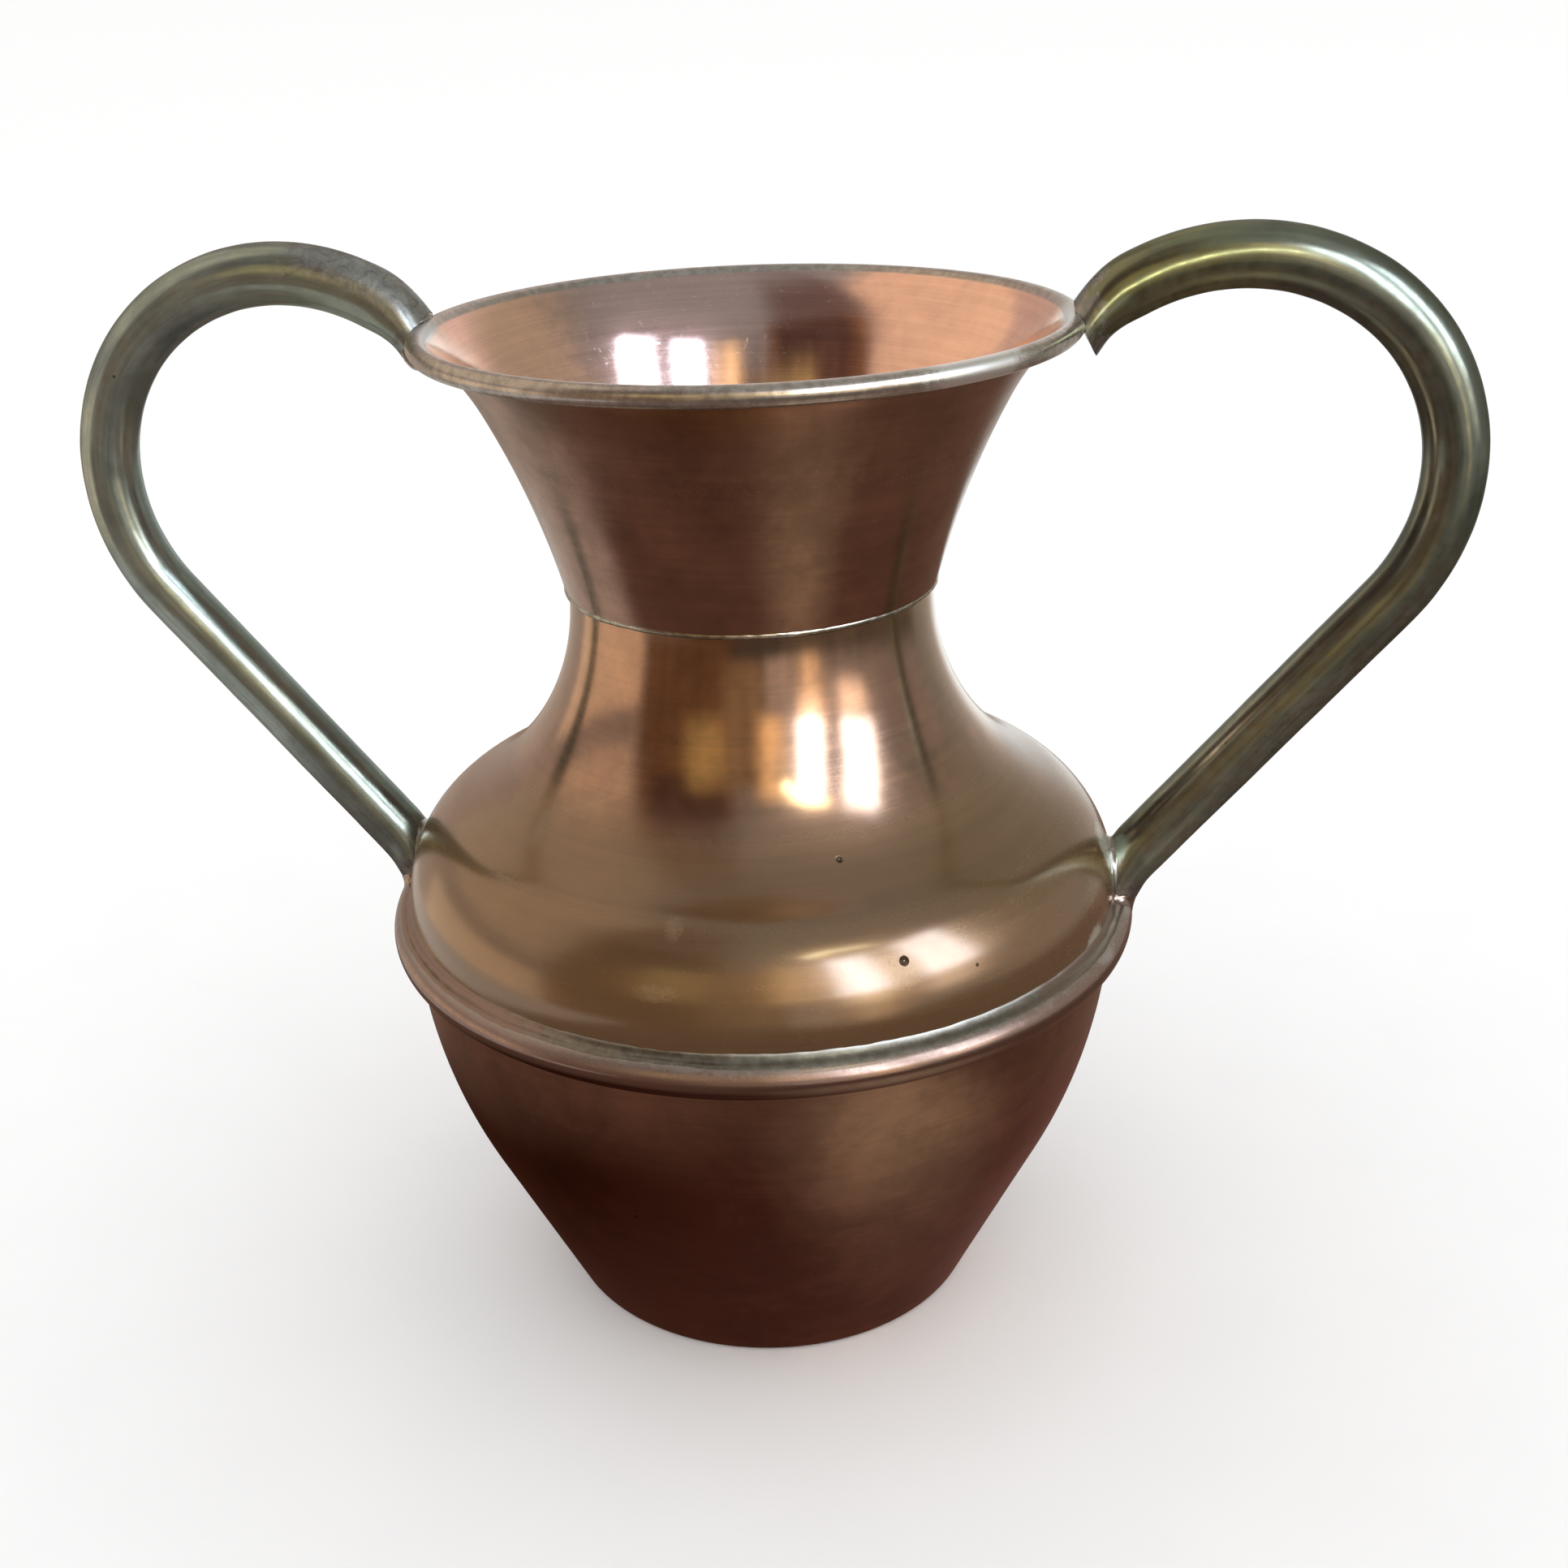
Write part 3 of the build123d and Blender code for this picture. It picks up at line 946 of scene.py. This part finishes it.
def solder(name, dull, bright, roughness):
    """Soft solder that has dulled and is mottled with brighter spots, with small lumps, and a painted
    highlight on the front of the neck seam.
    """
    graph = new_material(name)
    place = graph.place()
    across, _, height = graph.parts(place)
    mottle = graph.noise(place, 2.0, 5.0, 0.7)
    tone = graph.mix(graph.step(mottle, 0.35, 0.7), dull, bright)
    surface = Surface(graph, tone, graph.uneven(roughness, mottle, 0.2))

    # The belly seam's upper lip gets a painted highlight, a paler line, and copper-coloured film covers its
    # lower part towards the handles.
    painted_lip_highlight = graph.times(graph.step(height, 0.0934, 0.0938), graph.step(height, 0.110, 0.100))
    surface.lay(painted_lip_highlight, (0.34, 0.34, 0.315), rougher=0.12)
    right_end = graph.step(across, 0.045, 0.070, 0.0, 0.6)
    ends = graph.math("MAXIMUM", graph.step(across, -0.020, -0.055), right_end)
    film = graph.uneven(ends, graph.noise(place, 3.0, 5.0, 0.75), 1.4)
    film = graph.times(graph.step(film, 0.15, 0.6), graph.step(height, 0.0950, 0.0944))
    surface.lay(film, (0.27, 0.195, 0.165), 0.85)
    # A painted highlight: near-white colour on the front of the neck seam, standing in for its reflection of
    # the window.
    painted_glint = near_point(graph, place, (6, -37, 150.5), 8, 14)
    painted_glint = graph.times(painted_glint, graph.step(mottle, 0.3, 0.5))
    surface.lay(painted_glint, (0.85, 0.88, 0.90), rougher=-0.08)

    surface.emboss(graph.noise(place, 0.5, 3.0, 0.6), 0.004)
    surface.emboss(mottle, 0.02)
    return surface.finish()


def steel(name):
    """Drawn iron wire, dull and lightly spotted."""
    graph = new_material(name)
    spots = graph.noise(graph.place(), 1.5, 4.0, 0.7)
    tone = graph.mix(graph.step(spots, 0.4, 0.7), (0.36, 0.34, 0.32), (0.20, 0.14, 0.10))
    surface = Surface(graph, tone, graph.plus(0.35, graph.times(spots, 0.25)))
    surface.emboss(spots, 0.02)
    return surface.finish()


# ---- stage, light and camera


def flat_mesh(name, vertices, faces=None):
    """A mesh from points in metres, of one flat face unless faces are given."""
    mesh = bpy.data.meshes.new(name)
    mesh.from_pydata(vertices, [], faces or [tuple(range(len(vertices)))])
    return mesh


def make_floor():
    """A plain pale floor that reaches past every view."""
    reach = 40.0
    graph = new_material("pale_floor")
    grain = graph.noise(graph.place(), 30.0, 3.0, 0.5)
    tone = graph.mix(grain, (0.93, 0.93, 0.93), (0.97, 0.97, 0.97))
    graph.show("BsdfPrincipled", {"Base Color": tone, "Roughness": 0.9})
    corners = [(-reach, -reach, 0), (reach, -reach, 0), (reach, reach, 0), (-reach, reach, 0)]
    mesh = flat_mesh("floor", corners)
    mesh.materials.append(graph.owner)
    floor = new_object("floor", mesh)
    floor.visible_glossy = False


def mirror_only(mesh, graph, tone, strength=1.0, middle=(0, 0, 0), sampling="NONE"):
    """Put a glowing surface on the stage that only the metal sees."""
    graph.show("Emission", {"Color": tone, "Strength": strength})
    graph.owner.cycles.emission_sampling = sampling
    mesh.materials.append(graph.owner)
    thing = new_object(mesh.name, mesh)
    thing.location = middle
    thing.visible_camera = False
    thing.visible_diffuse = False
    thing.visible_shadow = False


# Parts of the room that the metal mirrors, the later over the earlier. Each has its azimuth, from the front
# towards +X, and elevation, its width and height and its soft edge, all in degrees, and its colour.
room_panels = [
    ((40, -24), (170, 26), 12, (0.20, 0.17, 0.13)),
    ((-4, -15), (58, 26), 8, (0.12, 0.11, 0.09)),
    ((180, 20), (64, 70), 30, (0.78, 0.68, 0.65)),
    ((180, -4), (42, 34), 14, (1.20, 1.25, 1.30)),
    ((130, 36), (50, 46), 24, (0.42, 0.39, 0.32)),
    ((104, 2), (34, 22), 10, (0.54, 0.46, 0.41)),
    ((-112, 24), (102, 82), 5, (0.53, 0.435, 0.385)),
    ((-146, 16), (36, 40), 12, (0.62, 0.49, 0.44)),
    ((-102, 42), (76, 52), 9, (0.90, 0.71, 0.54)),
    ((-38, 60), (58, 36), 24, (0.25, 0.18, 0.15)),
    ((-91, -8), (60, 26), 6, (1.20, 0.92, 0.68)),
    ((-33, 12), (56, 80), 8, (0.27, 0.15, 0.08)),
    ((-32, 42), (44, 22), 10, (0.14, 0.08, 0.06)),
    ((-21, 25), (21, 26), 11, (0.84, 0.62, 0.26)),
    ((2, 14), (24, 50), 7, (0.47, 0.33, 0.19)),
    ((24, -1), (17, 22), 6, (0.94, 0.80, 0.70)),
    ((19, 28), (17, 33), 8, (2.80, 2.00, 1.00)),
    ((52, 27), (60, 60), 26, (0.75, 0.69, 0.69)),
    ((41, 3), (12, 30), 9, (2.10, 1.60, 1.05)),
    ((40, 15), (14, 22), 11, (4.60, 3.90, 2.90)),
    ((66, 12), (16, 24), 11, (3.60, 3.10, 2.60)),
    ((38.5, 29), (16, 33), 6, (9.0, 9.7, 11.0)),
    ((67, 29), (19, 33), 6, (9.0, 9.7, 11.0)),
]
curtained = ((12, 12), (140, 76), 20)  # where soft upright folds vary the room's brightness
room_radius = 3.0
room_middle = Vector((0, 0, 0.12))


def panel_mask(graph, azimuth, elevation, middle, size, edge):
    """1 inside a panel of the room, fading to 0 across its edge."""
    across = graph.math("WRAP", graph.math("SUBTRACT", azimuth, middle[0]), 180.0, -180.0)
    upward = graph.math("SUBTRACT", elevation, middle[1])
    parts = []
    for gap, reach in zip((across, upward), size):
        inner, outer = (reach - edge) / 2, (reach + edge) / 2
        parts.append(graph.step(graph.math("ABSOLUTE", gap), inner, outer, 1.0, 0.0))
    return graph.times(*parts)


def plain_noise(graph, place, scale, output, **settings):
    """Noise in the texture's own scale, as a number (output 0) or a colour (output 1)."""
    return graph.add("TexNoise", {"Vector": place, "Scale": scale, **settings}, output)


def make_world(low):
    """Even white light, which the metal does not mirror."""
    world = bpy.data.worlds.new("studio")
    world.cycles.sampling_method = "NONE"
    graph = Graph(world)
    glossy = graph.add("LightPath", output=3)
    tone = graph.mix(glossy, (1.1, 1.1, 1.1), low)
    graph.show("Background", {"Color": tone, "Strength": 1.0}, "OutputWorld")
    bpy.context.scene.world = world


def make_room(low, high):
    """A dim warm room of soft panels round the vase, for the metal to mirror."""
    shape = bmesh.new()
    bmesh.ops.create_uvsphere(shape, u_segments=96, v_segments=48, radius=room_radius)
    mesh = bpy.data.meshes.new("room")
    shape.to_mesh(mesh)
    shape.free()
    mesh.shade_smooth()
    graph = new_material("room_reflection")
    place = graph.vector("NORMALIZE", graph.place())
    ripple = graph.vector("SUBTRACT", plain_noise(graph, place, 9.0, 1, Detail=3.0), (0.5, 0.5, 0.5))
    ripple = graph.vector("MULTIPLY", ripple, (0.06, 0.06, 0.045))
    parts = graph.parts(graph.vector("NORMALIZE", graph.vector("ADD", place, ripple)))
    azimuth = graph.math("DEGREES", graph.math("ARCTAN2", parts[0], graph.times(parts[1], -1.0)))
    elevation = graph.math("DEGREES", graph.math("ARCSINE", parts[2]))
    tone = graph.mix(graph.step(elevation, 30.0, 62.0), low, high)
    for *panel, panel_colour in room_panels:
        tone = graph.mix(panel_mask(graph, azimuth, elevation, *panel), tone, panel_colour)
    folds = graph.add("CombineXYZ", {0: azimuth, 1: graph.times(elevation, 0.04), 2: 0.0})
    folds = graph.step(plain_noise(graph, folds, 0.22, 0, Detail=3.0), 0.35, 0.65, -0.3, 0.2)
    folds = graph.times(folds, panel_mask(graph, azimuth, elevation, *curtained))
    mirror_only(mesh, graph, tone, graph.plus(1.0, folds), room_middle)


def make_table():
    """A dark table top that only the metal mirrors: brown near the vase, with a sheen towards the window."""
    reach = 0.46
    sides = 96
    mesh = flat_mesh("table", [round_axis(reach, math.tau * i / sides, -0.001) for i in range(sides)])
    graph = new_material("table_reflection")
    place = graph.place()
    drift = graph.vector("SUBTRACT", plain_noise(graph, place, 14.0, 1), (0.5, 0.5, 0.5))
    place = graph.vector("ADD", place, graph.vector("MULTIPLY", drift, (0.03, 0.03, 0)))
    across = graph.parts(place)[0]
    away = graph.vector("LENGTH", graph.vector("MULTIPLY", place, (1, 1, 0)), output=1)
    tone = graph.mix(graph.step(across, -0.08, 0.08), (0.045, 0.014, 0.008), (0.17, 0.080, 0.066))
    tone = graph.mix(graph.step(away, 0.09, 0.17), tone, (0.21, 0.13, 0.10))
    sheen = near_point(graph, place, (95, -115, 0), 10, 95, (1, 0.9, 0))
    tone = graph.mix(sheen, tone, (0.54, 0.45, 0.34))
    tone = graph.mix(graph.step(across, -0.205, -0.235), tone, (0.72, 0.66, 0.63))
    mirror_only(mesh, graph, tone)


def make_strip():
    """A slanting strip of daylight close by, which draws the thin bright line along the handles' crowns."""
    middle_line = [(0.056, 0.226), (0.072, 0.245), (0.088, 0.263), (0.115, 0.281), (0.150, 0.300)]
    in_front = -0.151
    vertices = [(x + shift, in_front, z - shift) for x, z in middle_line for shift in (-0.0045, 0.0045)]
    faces = [(k, k + 1, k + 3, k + 2) for k in range(0, len(vertices) - 2, 2)]
    graph = new_material("strip_reflection")
    drift = graph.noise(graph.place(), 40.0, 2.0, 0.5)
    tone = graph.mix(drift, (9.2, 8.8, 5.6), (11.0, 10.8, 7.6))
    mirror_only(flat_mesh("strip", vertices, faces), graph, tone, sampling="FRONT_BACK")


def make_camera():
    """A camera close to the vase and above its rim, a little to its right."""
    place = (0.049228, -0.365758, 0.275306)
    turned_left, tilted_down, rolled = 9.665, 27.112, -2.641
    data = bpy.data.cameras.new("camera")
    data.sensor_width = 36.0
    data.lens = 43.107
    data.shift_x = 0.05209
    data.shift_y = 0.07676
    data.clip_start = 0.01
    data.clip_end = 200.0
    camera = new_object("camera", data)
    turn = Matrix.Rotation(math.radians(turned_left), 4, "Z")
    tilt = Matrix.Rotation(math.radians(90 - tilted_down), 4, "X")
    roll = Matrix.Rotation(math.radians(rolled), 4, "Z")
    camera.matrix_world = Matrix.Translation(place) @ turn @ tilt @ roll
    bpy.context.scene.camera = camera


# ---- the scene

patina = ((0.40, 0.25, 0.18), (0.26, 0.165, 0.12))
outside_copper = copper("aged_copper", *patina, 0.15, True)
dome_copper = copper("dome_copper", *patina, 0.15, True, coat=0.7)
inside_copper = copper("inner_copper", (0.92, 0.60, 0.47), (0.74, 0.49, 0.40), 0.11, False)
left_brass = brass("left_brass", 30.0, (0.335, 0.385, 0.345), (0.21, 0.25, 0.225), 0.82, 0.3, 0.86)
right_brass = brass("right_brass", 9.0, (0.225, 0.25, 0.205), (0.135, 0.158, 0.134), 0.93, 0.6, 1.6)
soft_solder = solder("soft_solder", (0.34, 0.35, 0.34), (0.62, 0.64, 0.64), 0.24)
neck_solder = solder("neck_solder", (0.26, 0.26, 0.215), (0.46, 0.47, 0.43), 0.24)
dull_solder = solder("dull_solder", (0.17, 0.16, 0.135), (0.26, 0.25, 0.215), 0.32)
steel_wire = steel("steel_wire")

sheets = (outside_copper, inside_copper)
bowl = spun_sheet("bowl_shell", bowl_path, body_sheet, sheets)
shoulder = spun_sheet("shoulder_shell", shoulder_path, body_sheet, (dome_copper, inside_copper))
funnel = spun_sheet("funnel_shell", trumpet_path + roll_path[1:], funnel_sheet, sheets)
pieces = {
    "bowl": (bowl, "aged_copper"),
    "shoulder": (shoulder, "aged_copper"),
    "neck_funnel": (funnel, "aged_copper"),
    "neck_solder": (neck_seam("neck_seam", [neck_solder]), "soft_solder"),
    "belly_solder": (belly_seam("belly_seam", [dull_solder]), "soft_solder"),
    "left_handle": (handle_tube("left_tube", -1, [left_brass]), "tarnished_brass"),
    "right_handle": (handle_tube("right_tube", 1, [right_brass]), "tarnished_brass"),
    "left_foot_solder": (foot_joint("left_foot_joint", -1, [soft_solder], 3.0), "soft_solder"),
    "right_foot_solder": (foot_joint("right_foot_joint", 1, [soft_solder], 11.0), "soft_solder"),
    "left_rim_solder": (rim_joint("left_rim_joint", -1, [soft_solder], 2.0, (-30, 6, 1.0)), "soft_solder"),
    "right_rim_solder": (rim_joint("right_rim_joint", 1, [soft_solder], 7.0, (-7, 7, 0.45)), "soft_solder"),
}
for node, (piece, slot) in pieces.items():
    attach(piece, "root")
    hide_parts(node)

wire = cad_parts["rim_wire"]
wire.data.materials.clear()
wire.data.materials.append(steel_wire)

low_wall, high_wall = (0.45, 0.42, 0.37), (0.50, 0.49, 0.46)
make_floor()
make_world(low_wall)
make_room(low_wall, high_wall)
make_table()
make_strip()
make_camera()

bpy.context.scene.view_settings.view_transform = "Standard"
